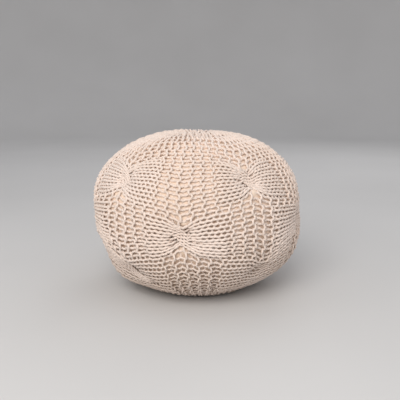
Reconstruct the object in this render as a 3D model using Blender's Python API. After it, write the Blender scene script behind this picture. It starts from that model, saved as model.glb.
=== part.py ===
"""Knitted pouf: a filled ball of chunky garter knitting that stands on a flat foot.

The pouf is one sewn, filled piece, so it is one closed solid.  Its surface is a turned
meridian (full shoulders, drawn-in underside, flat foot) with the crown drawn in, three
staggered rows of pinches, and the slight unevenness of a hand-filled cushion.
Metres, +Z up, origin on the floor under the middle of the pouf.  Azimuth 0 faces -Y.
"""
import math

import bmesh
import bpy
import numpy as np

# ---------------------------------------------------------------- driving dimensions
GIRTH_RADIUS = 0.262      # half of the widest width
CROWN_RISE = 0.2125       # from the widest line up to the crown
CROWN_POWER = 2.42        # fullness of the shoulders (2 is an ellipse)
UNDER_DROP = 0.201        # from the widest line down, as if the underside had no foot
UNDER_POWER = 1.97        # fullness of the underside
FOOT_RADIUS = 0.117       # the flat patch that rests on the floor
LEAN = 0.022              # sideways shift per metre of height: the filling has settled

CROWN_DIP = 0.010         # depth of the drawn-in crown
CROWN_DIP_RADIUS = 0.030

PINCH_ACROSS = 0.030      # half-width of a pinch's hollow, measured around the pouf
PINCH_ALONG = 0.022       # half-height of a pinch's hollow, measured up the pouf
PINCH_ROWS = (
    # five pinches a row, staggered from row to row and a little uneven, as tied by hand
    # (name,   depth, (azimuth in degrees, height above the floor) of each)
    ("upper",  0.010, ((-45.0, 0.297), (30.5, 0.303), (102.0, 0.300), (172.5, 0.298), (-117.0, 0.301))),
    ("middle", 0.011, ((-80.0, 0.186), (-7.4, 0.183), (74.0, 0.185), (140.5, 0.187), (-149.0, 0.184))),
    ("lower",  0.008, ((-41.5, 0.082), (37.0, 0.083), (106.5, 0.080), (176.5, 0.083), (-113.5, 0.081))),
)

SWELLS = (
    # (name,                   height, azimuth in degrees, outward, height spread, azimuth spread)
    ("roll of the base, left",  0.046,  -69.0,  0.0125, 0.032, 17.0),
    ("tuck above that roll",    0.122,  -88.0, -0.0100, 0.030, 26.0),
    ("full left side",          0.190,  -98.0,  0.0055, 0.050, 36.0),
    ("full left shoulder",      0.280,  -95.0,  0.0045, 0.060, 45.0),
    ("full right shoulder",     0.310,   78.0,  0.0030, 0.055, 40.0),
    ("slack right side",        0.215,   98.0, -0.0045, 0.060, 36.0),
    ("sag to the right",        0.080,   72.0,  0.0060, 0.060, 34.0),
    ("flat at the back",        0.200,  176.0, -0.0040, 0.110, 40.0),
)

AROUND = 80               # faces around the pouf
UP = 42                   # faces from the crown to the middle of the foot
YARN_COLOUR = (0.80, 0.70, 0.60, 1.0)


# ---------------------------------------------------------------- the meridian
def meridian(steps=400):
    """Distance from the crown, radius and height along the turned outline."""
    turn = np.linspace(0.0, math.pi / 2, steps)
    upper_r = GIRTH_RADIUS * np.sin(turn) ** (2 / CROWN_POWER)
    upper_z = CROWN_RISE * np.cos(turn) ** (2 / CROWN_POWER)
    lower_r = GIRTH_RADIUS * np.cos(turn) ** (2 / UNDER_POWER)
    lower_z = -UNDER_DROP * np.sin(turn) ** (2 / UNDER_POWER)
    foot_z = float(np.interp(-FOOT_RADIUS, -lower_r, lower_z))
    keep = lower_r > FOOT_RADIUS
    radius = np.concatenate([upper_r, lower_r[keep][1:], [FOOT_RADIUS, 0.0]])
    height = np.concatenate([upper_z, lower_z[keep][1:], [foot_z, foot_z]]) - foot_z
    along = np.concatenate([[0.0], np.cumsum(np.hypot(np.diff(radius), np.diff(height)))])
    return along, radius, height


ALONG, RADIUS, HEIGHT = meridian()
LENGTH = float(ALONG[-1])
TO_FOOT = LENGTH - FOOT_RADIUS


def along_at_height(z):
    """Distance from the crown at which the meridian passes height z."""
    side = ALONG <= TO_FOOT + 1e-9
    return float(np.interp(-z, -HEIGHT[side], ALONG[side]))


def wrap(degrees):
    return (degrees + 180.0) % 360.0 - 180.0


def surface_point(along, azimuth):
    """The point of the pouf's skin at a distance from the crown and an azimuth (degrees)."""
    r = float(np.interp(along, ALONG, RADIUS))
    z = float(np.interp(along, ALONG, HEIGHT))
    step = 0.004
    dr = float(np.interp(along + step, ALONG, RADIUS) - np.interp(along - step, ALONG, RADIUS))
    dz = float(np.interp(along + step, ALONG, HEIGHT) - np.interp(along - step, ALONG, HEIGHT))
    size = math.hypot(dr, dz) or 1.0
    normal_r, normal_z = -dz / size, dr / size

    push = -CROWN_DIP * math.exp(-(along / CROWN_DIP_RADIUS) ** 2)
    for _name, depth, places in PINCH_ROWS:
        for middle, row_z in places:
            up_down = (along - along_at_height(row_z)) / PINCH_ALONG
            across = math.radians(wrap(azimuth - middle)) * r / PINCH_ACROSS
            push -= depth * math.exp(-across ** 2 - up_down ** 2)
            push -= 0.4 * depth * math.exp(-(across / 2.4) ** 2 - (up_down / 2.4) ** 2)
    for _name, swell_z, middle, outward, spread_z, spread_a in SWELLS:
        push += outward * math.exp(-((z - swell_z) / spread_z) ** 2
                                   - (wrap(azimuth - middle) / spread_a) ** 2)
    turn = math.radians(azimuth)
    uneven = 0.0022 * math.sin(2 * turn + 0.8 + 5.0 * along) + 0.0016 * math.sin(3 * turn + 2.1)
    push += uneven * min(1.0, r / 0.12)                       # the crown stays round

    ease = min(1.0, max(0.0, (TO_FOOT - along) / 0.045))      # the foot stays flat and round
    ease = ease * ease * (3 - 2 * ease)
    r += push * normal_r * ease
    z += push * normal_z * ease
    x = r * math.sin(turn) - LEAN * z
    return x, -r * math.cos(turn), max(z, 0.0)


# ---------------------------------------------------------------- build
for old in list(bpy.data.objects):
    bpy.data.objects.remove(old, do_unlink=True)

collection = bpy.data.collections.new("knitted_pouf")
bpy.context.scene.collection.children.link(collection)

bm = bmesh.new()
bmesh.ops.create_uvsphere(bm, u_segments=AROUND, v_segments=UP, radius=1.0)
foot_ring = round(UP * TO_FOOT / LENGTH)
for v in bm.verts:
    ring = round(math.acos(max(-1.0, min(1.0, v.co.z))) / math.pi * UP)
    azimuth = math.degrees(math.atan2(v.co.x, -v.co.y)) if 0 < ring < UP else 0.0
    if ring <= foot_ring:
        along = TO_FOOT * ring / foot_ring
    else:
        along = TO_FOOT + FOOT_RADIUS * (ring - foot_ring) / (UP - foot_ring)
    v.co = surface_point(along, azimuth)
    if ring >= foot_ring:
        v.co.z = 0.0

foot_faces = [f for f in bm.faces if all(v.co.z < 1e-7 for v in f.verts)]
bmesh.ops.dissolve_faces(bm, faces=foot_faces, use_verts=True)   # the foot is one flat face
bmesh.ops.triangulate(bm, faces=[f for f in bm.faces if len(f.verts) == 4])

low = [min(v.co[i] for v in bm.verts) for i in range(3)]
high = [max(v.co[i] for v in bm.verts) for i in range(3)]
for v in bm.verts:                                               # origin under the middle
    v.co.x -= (low[0] + high[0]) / 2
    v.co.y -= (low[1] + high[1]) / 2
bmesh.ops.recalc_face_normals(bm, faces=bm.faces[:])

mesh = bpy.data.meshes.new("pouf")
bm.to_mesh(mesh)
bm.free()
mesh.shade_smooth()
mesh.set_sharp_from_angle(angle=math.radians(20))   # only the rim of the foot

yarn = bpy.data.materials.new("cotton_yarn")
yarn.use_nodes = True
shader = yarn.node_tree.nodes["Principled BSDF"]
shader.inputs["Base Color"].default_value = YARN_COLOUR
shader.inputs["Roughness"].default_value = 0.9
shader.inputs["Metallic"].default_value = 0.0
yarn.diffuse_color = YARN_COLOUR
mesh.materials.append(yarn)

pouf = bpy.data.objects.new("pouf", mesh)
collection.objects.link(pouf)
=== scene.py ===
import math

import bpy
import numpy as np
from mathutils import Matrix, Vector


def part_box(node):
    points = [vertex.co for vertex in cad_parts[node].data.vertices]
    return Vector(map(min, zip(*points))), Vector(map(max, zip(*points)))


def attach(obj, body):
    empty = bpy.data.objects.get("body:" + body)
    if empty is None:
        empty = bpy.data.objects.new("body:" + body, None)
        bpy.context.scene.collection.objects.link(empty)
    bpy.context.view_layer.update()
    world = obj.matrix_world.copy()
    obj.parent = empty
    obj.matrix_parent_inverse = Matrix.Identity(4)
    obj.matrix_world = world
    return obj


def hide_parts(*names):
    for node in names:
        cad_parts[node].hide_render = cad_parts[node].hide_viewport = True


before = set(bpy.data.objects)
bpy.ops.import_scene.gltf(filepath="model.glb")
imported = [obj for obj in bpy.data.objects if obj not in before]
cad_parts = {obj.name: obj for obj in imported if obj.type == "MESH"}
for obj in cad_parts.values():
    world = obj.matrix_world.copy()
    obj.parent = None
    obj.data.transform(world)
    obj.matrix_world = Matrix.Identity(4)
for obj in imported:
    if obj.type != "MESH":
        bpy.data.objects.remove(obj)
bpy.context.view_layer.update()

# ---------------------------------------------------------------- camera

camera_data = bpy.data.cameras.new("studio_camera")
camera_data.lens = 50.0
camera_data.sensor_width = 36.0
camera_data.clip_start = 0.02
camera_data.clip_end = 60.0
camera = bpy.data.objects.new("studio_camera", camera_data)
bpy.context.scene.collection.objects.link(camera)
camera.location = (0.0071, -1.371, 0.486)
camera.rotation_euler = (math.radians(78.8), 0.0, 0.0)
bpy.context.scene.camera = camera

# ---------------------------------------------------------------- the stuffed form

# The same form as the CAD solid, in metres: a flattened ball on a round foot, with a
# dip in the crown and three staggered rings of five pinches.
GIRTH_RADIUS = 0.262
CROWN_RISE = 0.2125
CROWN_POWER = 2.42
UNDER_DROP = 0.201
UNDER_POWER = 1.97
FOOT_RADIUS = 0.117
LEAN = 0.022
CROWN_DIP = 0.010
CROWN_DIP_RADIUS = 0.030
PINCH_ACROSS = 0.030
PINCH_ALONG = 0.022
# depth, the ring's stitch row, then (azimuth, height) of each pinch
PINCH_ROWS = (
    (0.010, 16.5, ((-45.0, 0.297), (30.5, 0.303), (102.0, 0.300), (172.5, 0.298), (-117.0, 0.301))),
    (0.011, 30.0, ((-80.0, 0.186), (-7.4, 0.183), (74.0, 0.185), (140.5, 0.187), (-149.0, 0.184))),
    (0.008, 40.8, ((-41.5, 0.082), (37.0, 0.083), (106.5, 0.080), (176.5, 0.083), (-113.5, 0.081))),
)
SWELLS = (
    (0.046, -69.0, 0.0125, 0.032, 17.0),
    (0.122, -88.0, -0.0100, 0.030, 26.0),
    (0.190, -98.0, 0.0055, 0.050, 36.0),
    (0.280, -95.0, 0.0045, 0.060, 45.0),
    (0.310, 78.0, 0.0030, 0.055, 40.0),
    (0.215, 98.0, -0.0045, 0.060, 36.0),
    (0.080, 72.0, 0.0060, 0.060, 34.0),
    (0.200, 176.0, -0.0040, 0.110, 40.0),
)


def meridian(steps=1600):
    turn = np.linspace(0.0, math.pi / 2, steps)
    upper_r = GIRTH_RADIUS * np.sin(turn) ** (2 / CROWN_POWER)
    upper_z = CROWN_RISE * np.cos(turn) ** (2 / CROWN_POWER)
    lower_r = GIRTH_RADIUS * np.cos(turn) ** (2 / UNDER_POWER)
    lower_z = -UNDER_DROP * np.sin(turn) ** (2 / UNDER_POWER)
    foot_z = float(np.interp(-FOOT_RADIUS, -lower_r, lower_z))
    keep = lower_r > FOOT_RADIUS
    radius = np.concatenate([upper_r, lower_r[keep][1:], [FOOT_RADIUS, 0.0]])
    height = np.concatenate([upper_z, lower_z[keep][1:], [foot_z, foot_z]]) - foot_z
    along = np.concatenate([[0.0], np.cumsum(np.hypot(np.diff(radius), np.diff(height)))])
    return along, radius, height


ALONG, RADIUS, HEIGHT = meridian()
LENGTH = float(ALONG[-1])
TO_FOOT = LENGTH - FOOT_RADIUS
SIDE = ALONG <= TO_FOOT + 1e-9


def wrap(angle):
    return (angle + 180.0) % 360.0 - 180.0


def along_at_height(z):
    return float(np.interp(-z, -HEIGHT[SIDE], ALONG[SIDE]))


def radius_at(along):
    return np.interp(along, ALONG, RADIUS)


PINCHES = []  # along, azimuth, depth, stitch row, number
for depth, ring_row, places in PINCH_ROWS:
    for k, (middle, height) in enumerate(places):
        PINCHES.append((along_at_height(height), middle, depth, ring_row, k))


def form(along, azimuth):
    """Points of the form, before it is centred, for arrays of distance from the crown and azimuth in degrees."""
    along = np.clip(along, 0.0, LENGTH)
    r = np.interp(along, ALONG, RADIUS)
    z = np.interp(along, ALONG, HEIGHT)
    step = 0.004
    dr = np.interp(along + step, ALONG, RADIUS) - np.interp(along - step, ALONG, RADIUS)
    dz = np.interp(along + step, ALONG, HEIGHT) - np.interp(along - step, ALONG, HEIGHT)
    size = np.maximum(np.hypot(dr, dz), 1e-9)
    normal_r, normal_z = -dz / size, dr / size
    push = -CROWN_DIP * np.exp(-((along / CROWN_DIP_RADIUS) ** 2))
    for at, middle, depth, _, _ in PINCHES:
        up_down = (along - at) / PINCH_ALONG
        across = np.radians(wrap(azimuth - middle)) * r / PINCH_ACROSS
        push = push - depth * np.exp(-(across**2) - up_down**2)
        push = push - 0.4 * depth * np.exp(-((across / 2.4) ** 2) - (up_down / 2.4) ** 2)
    for swell_z, middle, outward, spread_z, spread_a in SWELLS:
        push = push + outward * np.exp(-(((z - swell_z) / spread_z) ** 2) - (wrap(azimuth - middle) / spread_a) ** 2)
    turn = np.radians(azimuth)
    uneven = 0.0022 * np.sin(2 * turn + 0.8 + 5.0 * along) + 0.0016 * np.sin(3 * turn + 2.1)
    push = push + uneven * np.minimum(1.0, r / 0.12)
    ease = np.clip((TO_FOOT - along) / 0.045, 0.0, 1.0)
    ease = ease * ease * (3 - 2 * ease)
    r = r + push * normal_r * ease
    z = z + push * normal_z * ease
    return np.stack([r * np.sin(turn) - LEAN * z, -r * np.cos(turn), np.maximum(z, 0.0)], axis=-1)


# The CAD solid is centred on its box, so the same is done here.
grid_s, grid_a = np.meshgrid(np.linspace(0, LENGTH, 240), np.linspace(-180, 180, 361))
whole = form(grid_s, grid_a).reshape(-1, 3)
node_low, node_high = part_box("pouf")
SHIFT = np.array([
    (node_low[0] + node_high[0]) / 2 - (whole[:, 0].min() + whole[:, 0].max()) / 2,
    (node_low[1] + node_high[1]) / 2 - (whole[:, 1].min() + whole[:, 1].max()) / 2,
    node_low[2],
])


def surface(along, azimuth):
    """Points on the form and their outward normals."""
    point = form(along, azimuth)
    ds = 0.003
    near = np.clip(along, 0.004, LENGTH - 0.004)
    down = form(near + ds, azimuth) - form(near - ds, azimuth)
    da = np.degrees(0.003 / np.maximum(radius_at(near), 0.02))
    right = form(near, azimuth + da) - form(near, azimuth - da)
    normal = np.cross(down, right)
    normal = normal / np.maximum(np.linalg.norm(normal, axis=-1, keepdims=True), 1e-12)
    return point + SHIFT, normal


# ---------------------------------------------------------------- the knitting

# The cover is knitted sideways: its courses run from the crown down to the base, and
# their loops run round it. COURSES go right round; a stitch is two rows tall, one for
# each leg of its loop.
COURSES = 120
COURSE_ANGLE = 360.0 / COURSES
RIDGE_PHASE = 4.6            # azimuth of one garter ridge
FIRST_ROW = -2.0
STITCHES = 29
SAMPLES = 14
SIDES = 6
SECTORS = 5
YARN = 0.0028                # radius
REACH = 0.0031               # how far a loop reaches past the line between two courses
WAIST = 0.30                 # how much a loop narrows at its neck, in rows
GARTER_1 = 0.0037
GARTER_3 = 0.0015
FLAT_RISE = 0.0034
FLAT_DEPTH = 0.0014
VALLEY = 0.95                # how deep the dips between two ridges are, as a share of the ridges
MIDDLE_DEPTH = GARTER_1 + GARTER_3 + YARN

ROW_AT = (
    (-2.0, 0.006), (0.5, 0.040), (3.5, 0.086), (5.5, 0.131), (7.5, 0.1665), (11.5, 0.212),
    (16.5, 0.259), (23.0, 0.319), (30.0, 0.383), (36.0, 0.434), (38.0, 0.4565), (40.0, 0.481),
    (43.0, 0.5205), (46.0, 0.569), (56.0, 0.734),
)


def monotone(table, x):
    """A smooth curve through the table's points that never turns back."""
    xs, ys = np.array(table, float).T
    h = np.diff(xs)
    d = np.diff(ys) / h
    m = np.zeros_like(xs)
    m[0], m[-1] = d[0], d[-1]
    for i in range(1, len(xs) - 1):
        if d[i - 1] * d[i] > 0:
            w1, w2 = 2 * h[i] + h[i - 1], h[i] + 2 * h[i - 1]
            m[i] = (w1 + w2) / (w1 / d[i - 1] + w2 / d[i])
    x = np.asarray(x, float)
    i = np.clip(np.searchsorted(xs, x) - 1, 0, len(xs) - 2)
    t = (x - xs[i]) / h[i]
    inside = np.clip(t, 0.0, 1.0)
    value = (
        (2 * inside**3 - 3 * inside**2 + 1) * ys[i]
        + (inside**3 - 2 * inside**2 + inside) * h[i] * m[i]
        + (-2 * inside**3 + 3 * inside**2) * ys[i + 1]
        + (inside**3 - inside**2) * h[i] * m[i + 1]
    )
    return value + (t - inside) * h[i] * np.where(t < 0, m[i], m[i + 1])


# How far a row is drawn towards a pinch, by rows from it: over a wide stretch of the
# fabric, and more sharply just at the knot.
PULL_WIDE = (
    (0.0, 0.0), (3.0, 0.0105), (5.6, 0.0185), (7.0, 0.0205), (9.0, 0.0190), (11.0, 0.0165),
    (13.5, 0.0130), (18.5, 0.0075), (22.5, 0.0035), (27.0, 0.0),
)
PULL_WIDE_REACH = 0.058
PULL_NEAR = ((0.0, 0.0), (3.0, 0.0068), (5.6, 0.0135), (6.4, 0.0085), (7.4, 0.0018), (9.5, 0.0))
PULL_NEAR_REACH = 0.024
# How far the rows are drawn up, in metres, to the left and right of the pinches that
# pull askew.
TILTS = {-41.5: (-0.032, 0.0), 37.0: (0.0, -0.018), 106.5: (-0.012, 0.0), 176.5: (0.0, -0.014)}
# The lower pinches are slacker: the share of the wide and the near pull, and how far the
# rows sag towards the knot, over a wide and a short reach.
SLACK = {37.0: (0.60, 0.15, 0.0040, 0.0160), -41.5: (0.65, 0.20, 0.0100, 0.0040)}
SLACK_LOW = (0.65, 0.20, 0.0060, 0.0040)
TWIST = 14.0
TWIST_REACH = 0.016


def smooth(x, low, high):
    t = np.clip((x - low) / (high - low), 0.0, 1.0)
    return t * t * (3 - 2 * t)


random = np.random.default_rng(20240611)


def knots(count_c, count_m, scale):
    """A repeatable field of gentle unevenness over the courses and rows."""
    table = random.normal(size=(count_c, count_m)) * scale
    table[-1] = table[0]
    return table


def sample(table, c, m):
    """The field at courses c and rows m, smoothly, and closed round the pouf."""
    n_c, n_m = table.shape
    x = (np.asarray(c) % COURSES) / COURSES * (n_c - 1)
    y = np.clip((np.asarray(m) + 10.0) / 78.0, 0.0, 0.9999) * (n_m - 1)
    x0, y0 = np.floor(x).astype(int), np.floor(y).astype(int)
    x0 = np.clip(x0, 0, n_c - 2)
    fx, fy = x - x0, y - y0
    fx, fy = fx * fx * (3 - 2 * fx), fy * fy * (3 - 2 * fy)
    return (
        table[x0, y0] * (1 - fx) * (1 - fy) + table[x0 + 1, y0] * fx * (1 - fy)
        + table[x0, y0 + 1] * (1 - fx) * fy + table[x0 + 1, y0 + 1] * fx * fy
    )


DRIFT_WIDE = knots(11, 9, 0.55)       # degrees, slow leaning of the courses
ROW_WIDE = knots(13, 13, 0.0014)      # metres, slow wander of the rows
ROW_FINE = knots(121, 62, 0.0006)     # metres
SIZE_FINE = knots(121, 50, 0.060)     # share of a loop's reach
THICK_FINE = knots(61, 70, 0.045)     # share of the yarn's thickness
LIFT_FINE = knots(121, 62, 0.0007)    # metres, stitches standing a little high or low


def drift(m):
    return np.interp(m, [-2.0, 10.0, 16.5, 30.0, 40.8, 48.5, 56.0], [-1.2, -1.1, -0.9, 0.0, 1.8, 2.6, 3.0])


def place(c, m):
    """Where course c, row m lies: distance from the crown and azimuth."""
    azimuth = COURSE_ANGLE * (c - 0.5) + RIDGE_PHASE + drift(m)
    fade = smooth(m, -1.0, 6.0) * (1 - smooth(m, 47.0, 54.0))
    azimuth = azimuth + sample(DRIFT_WIDE, c, m) * fade
    along = monotone(ROW_AT, m) + (sample(ROW_WIDE, c, m) + sample(ROW_FINE, c, m)) * fade
    moved = np.zeros_like(along)
    for at, middle, _, ring_row, _ in PINCHES:
        rows_off = m - ring_row
        away = np.abs(np.radians(wrap(azimuth - middle)) * radius_at(at))
        wide = np.exp(-(np.sqrt(away**2 + 0.006**2) - 0.006) / PULL_WIDE_REACH) * (1 - smooth(away, 0.10, 0.20))
        near = np.exp(-((away / PULL_NEAR_REACH) ** 2))
        off = np.abs(rows_off)
        wide_share, near_share, sag_wide, sag_near = SLACK.get(middle, SLACK_LOW if ring_row > 35.0 else (1.0, 1.0, 0.0, 0.0))
        moved = moved - np.sign(rows_off) * (
            wide_share * monotone(PULL_WIDE, np.minimum(off, 27.0)) * wide
            + near_share * monotone(PULL_NEAR, np.minimum(off, 9.5)) * near
        )
        sag = sag_wide * np.exp(-((away / 0.070) ** 2)) + sag_near * np.exp(-((away / 0.026) ** 2))
        moved = moved + sag * np.exp(-(((rows_off + 2.5) / 5.5) ** 2))
        if middle in TILTS:
            left, right = TILTS[middle]
            side = np.where(wrap(azimuth - middle) < 0, left, right)
            reach = smooth(away, 0.004, 0.085) * (1 - smooth(away, 0.11, 0.20))
            moved = moved + side * reach * np.exp(-((rows_off / 8.0) ** 2))
    return along + moved, azimuth


def twist(along, azimuth):
    """Each pinch is twisted clockwise as it was tied. Returns the turned place and how near the knot it is."""
    knot = np.zeros_like(along)
    for at, middle, _, _, _ in PINCHES:
        r = radius_at(at)
        x = np.radians(wrap(azimuth - middle)) * r
        y = -(along - at)
        away = np.hypot(x, y)
        close = away < 0.09
        amount = np.where(close, np.exp(-((away / TWIST_REACH) ** 2)), 0.0)
        turn = np.radians(TWIST) * amount
        x2 = x * np.cos(turn) + y * np.sin(turn)
        y2 = -x * np.sin(turn) + y * np.cos(turn)
        along = np.where(close, at - y2, along)
        azimuth = np.where(close, azimuth + np.degrees((x2 - x) / r), azimuth)
        knot = np.maximum(knot, amount)
    return along, azimuth, knot


# Where a fan ends to the left and right of its pinch, in degrees, for the uneven ones.
FAN_EDGES = {
    -45.0: (22.5, 22.9), 30.5: (18.9, 22.0), -7.4: (17.0, 22.1), -80.0: (22.0, 26.0),
    -41.5: (24.0, 23.7), 37.0: (24.3, 22.0), 74.0: (31.0, 22.0),
}


def fan(c, m, azimuth):
    """1 in the flat fans beside a pinch, 0 in the ridged ground between them."""
    value = np.zeros_like(azimuth)
    for _, middle, _, ring_row, _ in PINCHES:
        left, right = FAN_EDGES.get(middle, (22.0, 22.0))
        off = wrap(azimuth - middle)
        courses_off = np.where(off < 0, -off / left, off / right) * 8.0
        rows_off = np.abs(m - ring_row) + np.where((m < ring_row) & (ring_row > 35.0), 0.9, 0.0)
        inside = (1 - smooth(courses_off, 7.5, 8.5)) * (1 - smooth(rows_off, 5.4, 6.4))
        value = np.maximum(value, inside)
    return value


# How deep the crease and the hole beside a knot are, where they differ from the usual.
DENT_SIZES = {-45.0: (0.25, 0.30), 30.5: (1.5, 0.6), -7.4: (1.7, 1.0), 37.0: (0.6, 0.9), -80.0: (0.5, 0.5)}


def dents(along, azimuth):
    """The small creases and holes round each knot."""
    depth = np.zeros_like(along)
    for at, middle, _, _, _ in PINCHES:
        crease_size, hole_size = DENT_SIZES.get(middle, (0.8, 0.7))
        x = np.radians(wrap(azimuth - middle)) * radius_at(at)
        y = -(along - at)
        near = (np.abs(x) < 0.07) & (np.abs(y) < 0.07)
        crease = np.exp(-(((x + 0.016) / 0.014) ** 2) - ((y + 0.004 + 0.15 * (x + 0.016)) / 0.0032) ** 2)
        hole = np.exp(-(((x - 0.014) / 0.006) ** 2) - ((y - 0.015) / 0.005) ** 2)
        knot = np.exp(-((np.hypot(x, y) / 0.014) ** 2))
        depth = depth + np.where(near, 0.0062 * crease_size * crease + 0.0055 * hole_size * hole + 0.0025 * knot, 0.0)
    return depth


def under_knot(along, azimuth):
    """The stitches that pass behind the strands crossing a knot."""
    depth = np.zeros_like(along)
    for at, middle, _, ring_row, _ in PINCHES:
        if ring_row > 35.0:
            continue
        x = np.radians(wrap(azimuth - middle)) * radius_at(at)
        y = -(along - at)
        slant = x * 0.77 + y * 0.64      # across the crossing strands
        run = x * 0.64 - y * 0.77        # along them
        depth = depth + 0.0065 * (1 - smooth(np.abs(slant), 0.007, 0.012)) * (1 - smooth(np.abs(run), 0.014, 0.024))
    return depth


# The cloth folds over beside the left lower knot: the fold comes in from the left, drops
# past the knot and runs out to the right. Distance from the crown and azimuth.
FOLD = (
    (0.4400, -68.0), (0.4415, -59.0), (0.4450, -52.0), (0.4560, -47.6), (0.4750, -45.2),
    (0.4960, -44.4), (0.5075, -41.5), (0.5125, -37.0), (0.5165, -32.5), (0.5250, -28.5),
)
FOLD_RADIUS = float(radius_at(0.47))
FOLD_LINE = np.array([(math.radians(azimuth) * FOLD_RADIUS, along) for along, azimuth in FOLD])


def by_fold(along, azimuth, inner, outer):
    """1 on the fold, 0 away from it."""
    x, y = np.radians(wrap(azimuth)) * FOLD_RADIUS, np.asarray(along)
    nearest = np.full(x.shape, 1.0)
    for (x0, y0), (x1, y1) in zip(FOLD_LINE[:-1], FOLD_LINE[1:]):
        dx, dy = x1 - x0, y1 - y0
        share = np.clip(((x - x0) * dx + (y - y0) * dy) / (dx * dx + dy * dy), 0.0, 1.0)
        nearest = np.minimum(nearest, np.hypot(x - x0 - share * dx, y - y0 - share * dy))
    return 1 - smooth(nearest, inner, outer)


def pleats(c, along):
    """Near the crown and the base every other ridge folds in, then every other one again."""
    r = radius_at(along)
    first = 0.0095 * (1 - smooth(r, 0.045, 0.120))
    second = 0.0075 * (1 - smooth(r, 0.018, 0.052))
    beat = 2 * math.pi * (c - 0.5)
    return first * (1 - np.cos(beat / 4)) / 2 + second * (1 - np.cos(beat / 8)) / 2


def course_path(k):
    """One course's yarn from the crown to the base: its middle line, its outward directions and its thickness."""
    steps = STITCHES * SAMPLES + 1
    t = np.linspace(0.0, 2 * math.pi * STITCHES, steps)
    level = FIRST_ROW + t / math.pi
    size = 1.0 + sample(SIZE_FINE, np.full(steps, float(k)), level)
    face = 1.0 if k % 2 == 0 else -1.0
    # between two ridges the strands arch up a little, more so low down
    arch = 0.06 + 0.18 * smooth(level, 32.0, 38.0)
    raw_flat = fan(np.full(steps, float(k)), level, COURSE_ANGLE * (k - 0.5) + RIDGE_PHASE + drift(level))
    m = level + WAIST * np.sin(2 * t) - arch * (1 - raw_flat) * (0.5 - ((1 - face * np.cos(t)) / 2) ** 2)
    at, _ = place(np.full(steps, float(k)), level)
    course = np.maximum(np.radians(COURSE_ANGLE) * radius_at(at), 0.0022)
    swing = np.minimum(0.5 + REACH / course, 1.25)
    c = k - swing * size * np.cos(t)
    along, azimuth = place(c, m)
    flat = fan(np.full(steps, float(k)), level, azimuth)
    relief = 1 - 0.35 * smooth(level, 43.0, 50.0)  # the ridges are pressed flatter near the base
    ridged = -face * relief * (GARTER_1 * np.cos(t) + GARTER_3 * np.cos(3 * t))
    ridged = np.where(ridged < 0, VALLEY * ridged, ridged)
    level_z = FLAT_RISE - FLAT_DEPTH * np.cos(2 * t)
    lift = ridged * (1 - flat) + level_z * flat
    lift = lift + sample(LIFT_FINE, c, m) * (1 - 0.6 * smooth(level, 38.0, 43.0))
    # rows crowd at a knot, so every other one sinks behind its neighbours
    step_m = 0.25
    above, _ = place(c, m - step_m)
    below, _ = place(c, m + step_m)
    pitch = (below - above) / (2 * step_m)
    low = smooth(m, 33.0, 36.0)
    crowd = 1 - smooth(pitch, 0.0034, 0.0058 + 0.0006 * low)
    lift = lift - crowd * (0.0065 - 0.0015 * low) * (1 - np.cos(math.pi * (m - 0.5))) / 2
    along, azimuth, knot = twist(along, azimuth)
    inset = MIDDLE_DEPTH + dents(along, azimuth) + under_knot(along, azimuth) + pleats(np.full(steps, float(k)), along)
    point, normal = surface(along, azimuth)
    inset = inset + 0.0055 * by_fold(along, azimuth, 0.006, 0.013)
    path = point + normal * (lift - inset)[:, None]
    thick = YARN * (1.0 + sample(THICK_FINE, c, m)) * np.clip(pitch / 0.0058, 0.84, 1.0)
    thick = thick * (0.72 + 0.28 * smooth(radius_at(along), 0.012, 0.06)) * (1 - 0.05 * np.cos(2 * t))
    thick = thick * (1 - 0.24 * smooth(level, 34.0, 41.0))
    path[:, 2] = np.maximum(path[:, 2], thick)
    return path, normal, thick


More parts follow.
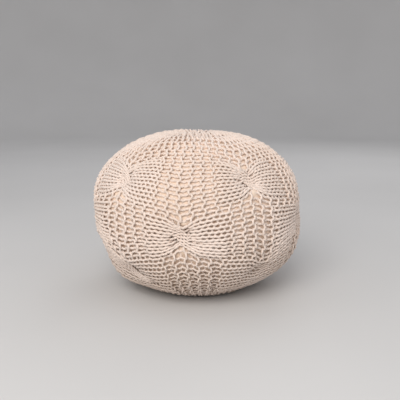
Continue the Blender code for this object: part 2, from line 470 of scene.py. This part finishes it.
def tubes(name, paths):
    """One valid mesh of closed tubes along the paths, with the yarn's own length and turn as its map."""
    points, quads, maps = [], [], []
    caps = []
    start = 0
    for path, normal, thick in paths:
        n = len(path)
        tangent = np.gradient(path, axis=0)
        tangent /= np.maximum(np.linalg.norm(tangent, axis=1, keepdims=True), 1e-9)
        out = normal - tangent * np.sum(normal * tangent, axis=1, keepdims=True)
        out /= np.maximum(np.linalg.norm(out, axis=1, keepdims=True), 1e-9)
        side = np.cross(tangent, out)
        angle = np.arange(SIDES) * 2 * math.pi / SIDES
        ring = (
            path[:, None, :]
            + thick[:, None, None] * (np.cos(angle)[None, :, None] * out[:, None, :] + np.sin(angle)[None, :, None] * side[:, None, :])
        )
        points.append(ring.reshape(-1, 3))
        i = np.arange(n - 1)[:, None] * SIDES
        j = np.arange(SIDES)[None, :]
        nj = (j + 1) % SIDES
        quad = np.stack([i + j, i + nj, i + SIDES + nj, i + SIDES + j], axis=-1).reshape(-1, 4) + start
        quads.append(quad)
        length = np.concatenate([[0.0], np.cumsum(np.linalg.norm(np.diff(path, axis=0), axis=1))])
        u0 = np.repeat(length[:-1, None], SIDES, axis=1)
        u1 = np.repeat(length[1:, None], SIDES, axis=1)
        v0 = np.repeat((np.arange(SIDES) / SIDES)[None, :], n - 1, axis=0)
        v1 = v0 + 1 / SIDES
        uv = np.stack([np.stack([u0, v0], -1), np.stack([u0, v1], -1), np.stack([u1, v1], -1), np.stack([u1, v0], -1)], axis=2)
        maps.append(uv.reshape(-1, 2))
        caps.append(np.arange(SIDES)[::-1] + start)
        caps.append(np.arange(SIDES) + start + (n - 1) * SIDES)
        start += n * SIDES
    points = np.concatenate(points)
    quads = np.concatenate(quads)
    caps = np.array(caps)
    uv = np.concatenate(maps + [np.zeros((caps.size, 2))])
    mesh = bpy.data.meshes.new(name)
    mesh.vertices.add(len(points))
    mesh.vertices.foreach_set("co", points.astype(np.float32).ravel())
    corners = np.concatenate([quads.ravel(), caps.ravel()])
    mesh.loops.add(len(corners))
    mesh.loops.foreach_set("vertex_index", corners.astype(np.int32))
    totals = np.concatenate([np.full(len(quads), 4), np.full(len(caps), SIDES)])
    starts = np.concatenate([[0], np.cumsum(totals)[:-1]])
    mesh.polygons.add(len(totals))
    mesh.polygons.foreach_set("loop_start", starts.astype(np.int32))
    mesh.polygons.foreach_set("loop_total", totals.astype(np.int32))
    mesh.update(calc_edges=True)
    mesh.validate()
    mesh.polygons.foreach_set("use_smooth", np.ones(len(mesh.polygons), bool))
    layer = mesh.uv_layers.new(name="yarn_map")
    layer.data.foreach_set("uv", uv.astype(np.float32).ravel())
    piece = bpy.data.objects.new(name, mesh)
    bpy.context.scene.collection.objects.link(piece)
    return piece


knit = []
per_sector = COURSES // SECTORS
for s in range(SECTORS):
    courses = [course_path(k) for k in range(s * per_sector, (s + 1) * per_sector)]
    knit.append(tubes(f"knit_sector_{s + 1}", courses))

# ---------------------------------------------------------------- the tied strands

# Each pinch was turned as it was tied, so a band of strands crosses in front from upper
# left to lower right, and the rest pass behind it.
BAND = 5
BAND_GAP = 0.0046
BAND_END = 0.027
BAND_THICK = 0.0024
BAND_SLOPES = {-45.0: 82.0, 30.5: 52.0, -7.4: 50.0, 37.0: 58.0, -41.5: 44.0}


def row_height(rows_off, away):
    """How far above a pinch's middle a row lies, at a distance to one side of the pinch."""
    off = np.abs(rows_off)
    neutral = 0.0090 * off
    wide = np.exp(-(np.sqrt(away**2 + 0.006**2) - 0.006) / PULL_WIDE_REACH)
    near = np.exp(-((away / PULL_NEAR_REACH) ** 2))
    pull = monotone(PULL_WIDE, off) * wide + monotone(PULL_NEAR, np.minimum(off, 9.5)) * near
    return -np.sign(rows_off) * (neutral - pull)


def band_strand(pinch, j, rng):
    at, middle, _, ring_row, k = pinch
    r = radius_at(at)
    slope = math.radians(BAND_SLOPES.get(middle, 46.0 + 3.0 * k))
    steps = 48
    # rows that the strand joins on either side, counted down from the pinch's middle
    left_row = -5.2 + 1.5 * (BAND - 1 - j)
    right_row = left_row + 4.6
    u = np.linspace(-1.0, 1.0, steps)
    x_side = u * BAND_END
    left_y = row_height(left_row, np.abs(x_side))
    right_y = row_height(right_row, np.abs(x_side))
    cross = (j - (BAND - 1) / 2) * BAND_GAP
    # the middle of the strand runs straight down the slope
    run = u * BAND_END * 0.9
    mid_x = cross * math.sin(slope) + run * math.cos(slope)
    mid_y = cross * math.cos(slope) - run * math.sin(slope)
    blend = 1 - smooth(np.abs(u), 0.10, 0.80)
    side_y = np.where(u < 0, left_y, right_y)
    x = x_side * (1 - blend) + mid_x * blend
    y = side_y * (1 - blend) + mid_y * blend
    length = np.concatenate([[0.0], np.cumsum(np.hypot(np.diff(x), np.diff(y)))])
    beat = 2 * math.pi * (length - length[steps // 2]) / 0.0098 + math.pi * j + rng.uniform(-0.4, 0.4)
    sway = 0.0009 * np.sin(beat)
    x = x + sway * math.sin(slope)
    y = y + sway * math.cos(slope)
    lift = -0.0036 - 0.0055 * smooth(np.abs(u), 0.50, 1.0) + 0.0007 * np.cos(beat) + rng.normal() * 0.0003
    point, normal = surface(at - y, middle + np.degrees(x / r))
    path = point + normal * lift[:, None]
    thick = BAND_THICK * (1 + 0.08 * np.cos(beat)) * (1 - 0.25 * smooth(np.abs(u), 0.8, 1.0))
    return path, normal, thick


strand_rng = np.random.default_rng(77)
bands = tubes("knot_strands", [band_strand(p, j, strand_rng) for p in PINCHES if p[3] < 35.0 for j in range(BAND)])
knit.append(bands)

FOLD_STRANDS = 3
FOLD_GAP = 0.0068


def fold_strand(j, rng):
    """One of the strands that lie along the fold."""
    steps = 110
    length = np.concatenate([[0.0], np.cumsum(np.hypot(*np.diff(FOLD_LINE, axis=0).T))])
    u = np.linspace(0.0, 1.0, steps)
    x, y = (np.interp(u * length[-1], length, FOLD_LINE[:, i]) for i in (0, 1))
    for _ in range(12):
        x[1:-1] = (x[:-2] + 2 * x[1:-1] + x[2:]) / 4
        y[1:-1] = (y[:-2] + 2 * y[1:-1] + y[2:]) / 4
    dx, dy = np.gradient(x), np.gradient(y)
    size = np.hypot(dx, dy)
    beat = 2 * math.pi * u * length[-1] / 0.0105 + math.pi * j + rng.uniform(-0.4, 0.4)
    aside = (j - (FOLD_STRANDS - 1) / 2) * FOLD_GAP + 0.0007 * np.sin(beat)
    x, y = x - aside * dy / size, y + aside * dx / size
    lift = -0.0026 - 0.0065 * smooth(np.abs(2 * u - 1), 0.78, 1.0) + 0.0006 * np.cos(beat)
    point, normal = surface(y, np.degrees(x / FOLD_RADIUS))
    thick = 0.0023 * (1 + 0.08 * np.cos(beat)) * (1 - 0.25 * smooth(np.abs(2 * u - 1), 0.85, 1.0))
    return point + normal * lift[:, None], normal, thick


fold_rng = np.random.default_rng(78)
knit.append(tubes("fold_strands", [fold_strand(j, fold_rng) for j in range(FOLD_STRANDS)]))

# ---------------------------------------------------------------- the filling behind it


# How far the cloth fills out above and below a knot.
WEDGE_SIZES = {-45.0: (0.1, 0.2), 30.5: (0.0, 1.1), -7.4: (1.0, 1.0)}


def core_mesh():
    """The stuffed lining just behind the stitches, seen only through the gaps."""
    around, rings = 288, 150
    inset = MIDDLE_DEPTH + GARTER_1 + GARTER_3 - YARN * 0.4
    s = np.linspace(0.012, LENGTH - 0.012, rings)
    a = np.linspace(-180.0, 180.0, around, endpoint=False)
    ss, aa = np.meshgrid(s, a, indexing="ij")
    point, normal = surface(ss.ravel(), aa.ravel())
    r = radius_at(ss.ravel())
    deep = inset + dents(ss.ravel(), aa.ravel()) + 0.011 * (1 - smooth(r, 0.03, 0.12))
    deep = deep - 0.0016 * (1 - smooth(ss.ravel(), 0.30, 0.42)) + 0.003 * smooth(ss.ravel(), 0.45, 0.50)
    deep = deep - 0.0010 * (1 - smooth(ss.ravel(), 0.10, 0.24))
    # the cloth fills out in the taut wedges just above and below each knot
    for at, middle, _, _, _ in PINCHES:
        x = np.radians(wrap(aa.ravel() - middle)) * radius_at(at)
        y = -(ss.ravel() - at)
        if at < 0.32:
            deep = deep - 0.0018 * (1 - smooth(np.abs(x), 0.07, 0.11)) * (1 - smooth(np.abs(y), 0.03, 0.06))
        near = (np.abs(x) < 0.05) & (np.abs(y) < 0.07)
        above = np.exp(-(((x - 0.005) / 0.007) ** 2) - ((y - 0.029) / 0.008) ** 2)
        below = np.exp(-(((x - 0.003) / 0.008) ** 2) - ((y + 0.030) / 0.008) ** 2)
        wedge_up, wedge_down = WEDGE_SIZES.get(middle, (0.8, 0.8))
        deep = deep - np.where(near, 0.0070 * (wedge_up * above + wedge_down * below), 0.0)
    point = point - normal * deep[:, None]
    point[:, 2] = np.maximum(point[:, 2], 0.006)
    faces = []
    for i in range(rings - 1):
        for j in range(around):
            nj = (j + 1) % around
            faces.append((i * around + j, (i + 1) * around + j, (i + 1) * around + nj, i * around + nj))
    faces.append(tuple(range(around)))
    faces.append(tuple((rings - 1) * around + j for j in range(around))[::-1])
    mesh = bpy.data.meshes.new("stuffed_core")
    mesh.from_pydata(point.tolist(), [], faces)
    mesh.validate()
    mesh.polygons.foreach_set("use_smooth", np.ones(len(mesh.polygons), bool))
    piece = bpy.data.objects.new("stuffed_core", mesh)
    bpy.context.scene.collection.objects.link(piece)
    return piece


core = core_mesh()

# ---------------------------------------------------------------- materials


class Nodes:
    """Small helper for building a node tree."""

    def __init__(self, name):
        self.material = bpy.data.materials.new(name)
        self.material.use_nodes = True
        self.tree = self.material.node_tree
        self.tree.nodes.clear()

    def add(self, kind, **values):
        node = self.tree.nodes.new(kind)
        for key, value in values.items():
            if key in node.inputs:
                node.inputs[key].default_value = value
            else:
                setattr(node, key, value)
        return node

    def link(self, a, b):
        self.tree.links.new(a, b)

    def math(self, operation, a, b=None, c=None, clamp=False):
        node = self.tree.nodes.new("ShaderNodeMath")
        node.operation = operation
        node.use_clamp = clamp
        for i, v in enumerate((a, b, c)):
            if v is None:
                continue
            if isinstance(v, (int, float)):
                node.inputs[i].default_value = v
            else:
                self.link(v, node.inputs[i])
        return node.outputs[0]

    def mix(self, factor, a, b):
        node = self.tree.nodes.new("ShaderNodeMix")
        node.data_type = "RGBA"
        for socket, v in ((node.inputs[0], factor), (node.inputs[6], a), (node.inputs[7], b)):
            if isinstance(v, (int, float)):
                socket.default_value = v
            elif isinstance(v, tuple):
                socket.default_value = v
            else:
                self.link(v, socket)
        return node.outputs[2]

    def noise(self, vector, scale, detail=2.0, roughness=0.5):
        node = self.add("ShaderNodeTexNoise", Scale=scale, Detail=detail, Roughness=roughness)
        self.link(vector, node.inputs["Vector"])
        return node.outputs["Fac"]

    def ramp(self, value, low, high):
        node = self.add("ShaderNodeMapRange")
        node.inputs["From Min"].default_value = low
        node.inputs["From Max"].default_value = high
        node.clamp = True
        self.link(value, node.inputs["Value"])
        return node.outputs["Result"]


def yarn_material():
    n = Nodes("cotton_yarn")
    place_node = n.add("ShaderNodeTexCoord").outputs["Object"]
    uv = n.add("ShaderNodeUVMap", uv_map="yarn_map").outputs["UV"]
    split = n.add("ShaderNodeSeparateXYZ")
    n.link(uv, split.inputs[0])
    length, turn = split.outputs[0], split.outputs[1]
    # three plies laid round each other, one turn every 11 mm
    lay = n.math("ADD", n.math("MULTIPLY", turn, 3 * 2 * math.pi), n.math("MULTIPLY", length, 3 * 2 * math.pi / 0.022))
    ply = n.math("ABSOLUTE", n.math("SINE", n.math("MULTIPLY", lay, 0.5)))
    slow = n.noise(place_node, 9.0, 3.0)
    mottled = n.noise(place_node, 75.0, 3.0)
    fibre = n.noise(place_node, 900.0, 4.0, 0.65)
    fuzz = n.noise(place_node, 2600.0, 2.0)
    light = (0.88, 0.745, 0.665, 1.0)
    tan = (0.78, 0.625, 0.520, 1.0)
    cream = (0.84, 0.700, 0.615, 1.0)
    colour = n.mix(n.ramp(slow, 0.35, 0.68), tan, light)
    colour = n.mix(0.55, colour, cream)
    colour = n.mix(n.math("MULTIPLY", n.ramp(mottled, 0.40, 0.72), 0.35), colour, light)
    # painted shade: the grooves between the plies are coloured darker
    ply_groove_shade = n.math("MULTIPLY", n.math("SUBTRACT", 1.0, n.ramp(ply, 0.0, 0.45)), 0.30)
    colour = n.mix(ply_groove_shade, colour, (0.66, 0.51, 0.40, 1.0))
    # painted shade: near the floor the yarn is coloured darker on the sides that face its neighbours, where shade
    # falls between the strands
    split_place = n.add("ShaderNodeSeparateXYZ")
    n.link(place_node, split_place.inputs[0])
    low_down = n.math("SUBTRACT", 1.0, n.ramp(split_place.outputs[2], 0.07, 0.18))
    inward = n.ramp(n.math("MULTIPLY", n.math("COSINE", n.math("MULTIPLY", turn, 2 * math.pi)), -1.0), -0.55, 0.35)
    crevice_shade = n.math("MULTIPLY", n.math("MULTIPLY", low_down, inward), 0.62)
    colour = n.mix(crevice_shade, colour, (0.40, 0.30, 0.22, 1.0))
    colour = n.mix(n.math("MULTIPLY", n.ramp(fibre, 0.55, 0.8), 0.22), colour, (0.92, 0.85, 0.77, 1.0))
    height = n.math("ADD", n.math("MULTIPLY", ply, 0.9), n.math("MULTIPLY", fibre, 0.55))
    height = n.math("ADD", height, n.math("MULTIPLY", fuzz, 0.25))
    bump = n.add("ShaderNodeBump", Strength=0.75, Distance=0.0009)
    n.link(height, bump.inputs["Height"])
    shader = n.add("ShaderNodeBsdfPrincipled")
    n.link(colour, shader.inputs["Base Color"])
    n.link(bump.outputs["Normal"], shader.inputs["Normal"])
    rough = n.math("ADD", 0.80, n.math("MULTIPLY", fibre, 0.16))
    n.link(rough, shader.inputs["Roughness"])
    shader.inputs["Specular IOR Level"].default_value = 0.25
    shader.inputs["Sheen Weight"].default_value = 0.35
    shader.inputs["Sheen Roughness"].default_value = 0.45
    shader.inputs["Sheen Tint"].default_value = (1.0, 0.94, 0.87, 1.0)
    out = n.add("ShaderNodeOutputMaterial")
    n.link(shader.outputs[0], out.inputs["Surface"])
    return n.material


def core_material():
    n = Nodes("inner_lining")
    place_node = n.add("ShaderNodeTexCoord").outputs["Object"]
    weave = n.noise(place_node, 420.0, 3.0)
    slow = n.noise(place_node, 22.0, 2.0)
    split = n.add("ShaderNodeSeparateXYZ")
    n.link(place_node, split.inputs[0])
    # painted shade: the lining is coloured a warmer and mostly darker tan than the yarn to stand for the shade in the
    # gaps, darker still towards the floor and lighter towards the top
    height = n.ramp(split.outputs[2], 0.06, 0.26)
    shaded_low_colour = n.mix(n.ramp(slow, 0.3, 0.7), (0.70, 0.53, 0.40, 1.0), (0.78, 0.60, 0.47, 1.0))
    lit_high_colour = n.mix(n.ramp(slow, 0.3, 0.7), (0.80, 0.63, 0.50, 1.0), (0.87, 0.71, 0.58, 1.0))
    colour = n.mix(height, shaded_low_colour, lit_high_colour)
    colour = n.mix(n.math("MULTIPLY", n.ramp(weave, 0.35, 0.7), 0.4), colour, (0.84, 0.68, 0.56, 1.0))
    bump = n.add("ShaderNodeBump", Strength=0.5, Distance=0.001)
    n.link(weave, bump.inputs["Height"])
    shader = n.add("ShaderNodeBsdfPrincipled", Roughness=0.95)
    n.link(colour, shader.inputs["Base Color"])
    n.link(bump.outputs["Normal"], shader.inputs["Normal"])
    shader.inputs["Specular IOR Level"].default_value = 0.1
    shader.inputs["Sheen Weight"].default_value = 0.15
    out = n.add("ShaderNodeOutputMaterial")
    n.link(shader.outputs[0], out.inputs["Surface"])
    return n.material


def floor_material():
    n = Nodes("pale_floor")
    place_node = n.add("ShaderNodeTexCoord").outputs["Object"]
    slow = n.noise(place_node, 1.2, 2.0)
    colour = n.mix(n.ramp(slow, 0.3, 0.7), (0.60, 0.585, 0.57, 1.0), (0.63, 0.615, 0.60, 1.0))
    shader = n.add("ShaderNodeBsdfPrincipled", Roughness=0.9)
    n.link(colour, shader.inputs["Base Color"])
    shader.inputs["Specular IOR Level"].default_value = 0.1
    out = n.add("ShaderNodeOutputMaterial")
    n.link(shader.outputs[0], out.inputs["Surface"])
    return n.material


yarn = yarn_material()
lining = core_material()
for piece in knit:
    piece.data.materials.append(yarn)
core.data.materials.append(lining)

# ---------------------------------------------------------------- riding on the frame

for piece in knit + [core]:
    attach(piece, "root")
    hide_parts("pouf")

# ---------------------------------------------------------------- floor and light

# A plain round floor that sweeps up into a backdrop all round, well away from the pouf.
sweep = [(0.0, 0.0), (1.5, 0.0), (3.0, 0.0), (4.5, 0.0)]
sweep += [(4.5 + 2.0 * math.sin(a), 2.0 - 2.0 * math.cos(a)) for a in np.linspace(0.0, math.pi / 2, 17)[1:]]
sweep += [(6.5, 3.0)]
spokes = 96
floor_points = [(0.0, 0.0, 0.0)]
for reach, rise in sweep[1:]:
    for i in range(spokes):
        turn = 2 * math.pi * i / spokes
        floor_points.append((reach * math.cos(turn), reach * math.sin(turn), float(rise)))
floor_faces = [(0, 1 + i, 1 + (i + 1) % spokes) for i in range(spokes)]
for ring in range(len(sweep) - 2):
    for i in range(spokes):
        a, b = 1 + ring * spokes + i, 1 + ring * spokes + (i + 1) % spokes
        floor_faces.append((a, a + spokes, b + spokes, b))
floor_mesh = bpy.data.meshes.new("floor")
floor_mesh.from_pydata(floor_points, [], floor_faces)
floor_mesh.polygons.foreach_set("use_smooth", [True] * len(floor_mesh.polygons))
floor = bpy.data.objects.new("floor", floor_mesh)
floor.location = (0.0, 0.0, -0.0005)
floor_mesh.materials.append(floor_material())
bpy.context.scene.collection.objects.link(floor)


def area_light(name, place, target, size, power, colour):
    data = bpy.data.lights.new(name, "AREA")
    data.shape = "RECTANGLE"
    data.size, data.size_y = size
    data.energy = power
    data.color = colour
    lamp = bpy.data.objects.new(name, data)
    lamp.location = place
    direction = np.array(target, float) - np.array(place, float)
    from mathutils import Vector
    lamp.rotation_euler = Vector(direction.tolist()).to_track_quat("-Z", "Y").to_euler()
    bpy.context.scene.collection.objects.link(lamp)
    return lamp


area_light("window_light", (-0.70, -2.4, 1.9), (0.0, 0.0, 0.2), (1.8, 1.8), 65.0, (1.0, 0.985, 0.96))
area_light("back_fill", (1.1, 2.6, 2.3), (0.0, 0.0, 0.2), (1.8, 1.8), 15.0, (0.97, 0.98, 1.0))
area_light("room_fill", (2.4, -1.6, 1.5), (0.0, 0.0, 0.2), (2.2, 1.8), 6.5, (0.95, 0.97, 1.0))

world = bpy.data.worlds.new("soft_room")
world.use_nodes = True
background = world.node_tree.nodes.get("Background")
background.inputs["Color"].default_value = (0.93, 0.95, 1.0, 1.0)
background.inputs["Strength"].default_value = 0.61
bpy.context.scene.world = world
bpy.context.scene.view_settings.view_transform = "Standard"

# ---------------------------------------------------------------- update the scene

bpy.context.view_layer.update()
